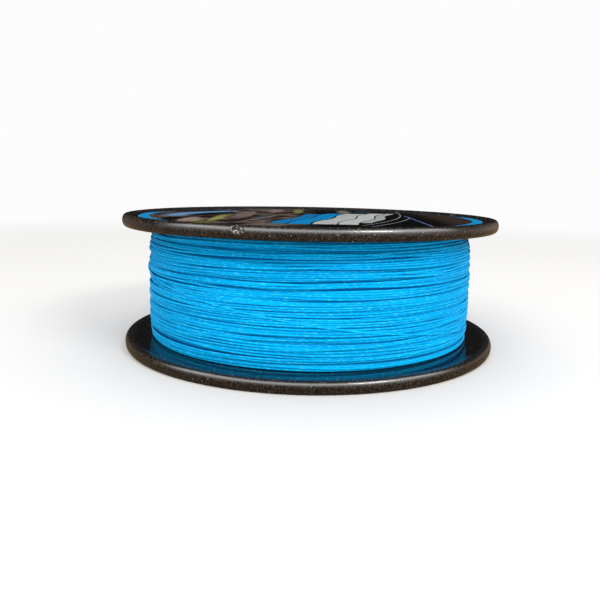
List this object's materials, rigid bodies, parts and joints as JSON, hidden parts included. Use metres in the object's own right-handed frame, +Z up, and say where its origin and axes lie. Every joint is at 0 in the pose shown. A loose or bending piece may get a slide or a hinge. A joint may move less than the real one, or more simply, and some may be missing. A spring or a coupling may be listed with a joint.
{
  "type": "fishing line spool",
  "caption": "Round flanged spool of black moulded plastic, full of blue braided fishing line, with printed disc labels let into both ends.",
  "frame": {"origin": "centre of the lower rim's resting ring, on the surface that the spool stands on", "axes": "+Z up along the spool's turning axis, from the lower flange to the upper flange; +X to the right and +Y away from a viewer in front"},
  "size_m": [0.1, 0.1, 0.0346],
  "materials": {
    "black_moulded_plastic": "semi-gloss, injection moulded",
    "core_plastic": "plain moulded, unseen inside the line",
    "printed_vinyl": "dark print with a blue edge ring, semi-gloss film",
    "braided_line": "tight bright blue braid with a dull sheen",
    "paper_tape": "creped paper, unseen under the line"
  },
  "bodies": {
    "root": {"lower_flange": "black_moulded_plastic", "upper_flange": "black_moulded_plastic", "arbor_core": "core_plastic", "lower_label": "printed_vinyl", "upper_label": "printed_vinyl", "starter_tape": "paper_tape", "line_winding": "braided_line", "line_tail": "braided_line"}
  },
  "joints": []
}
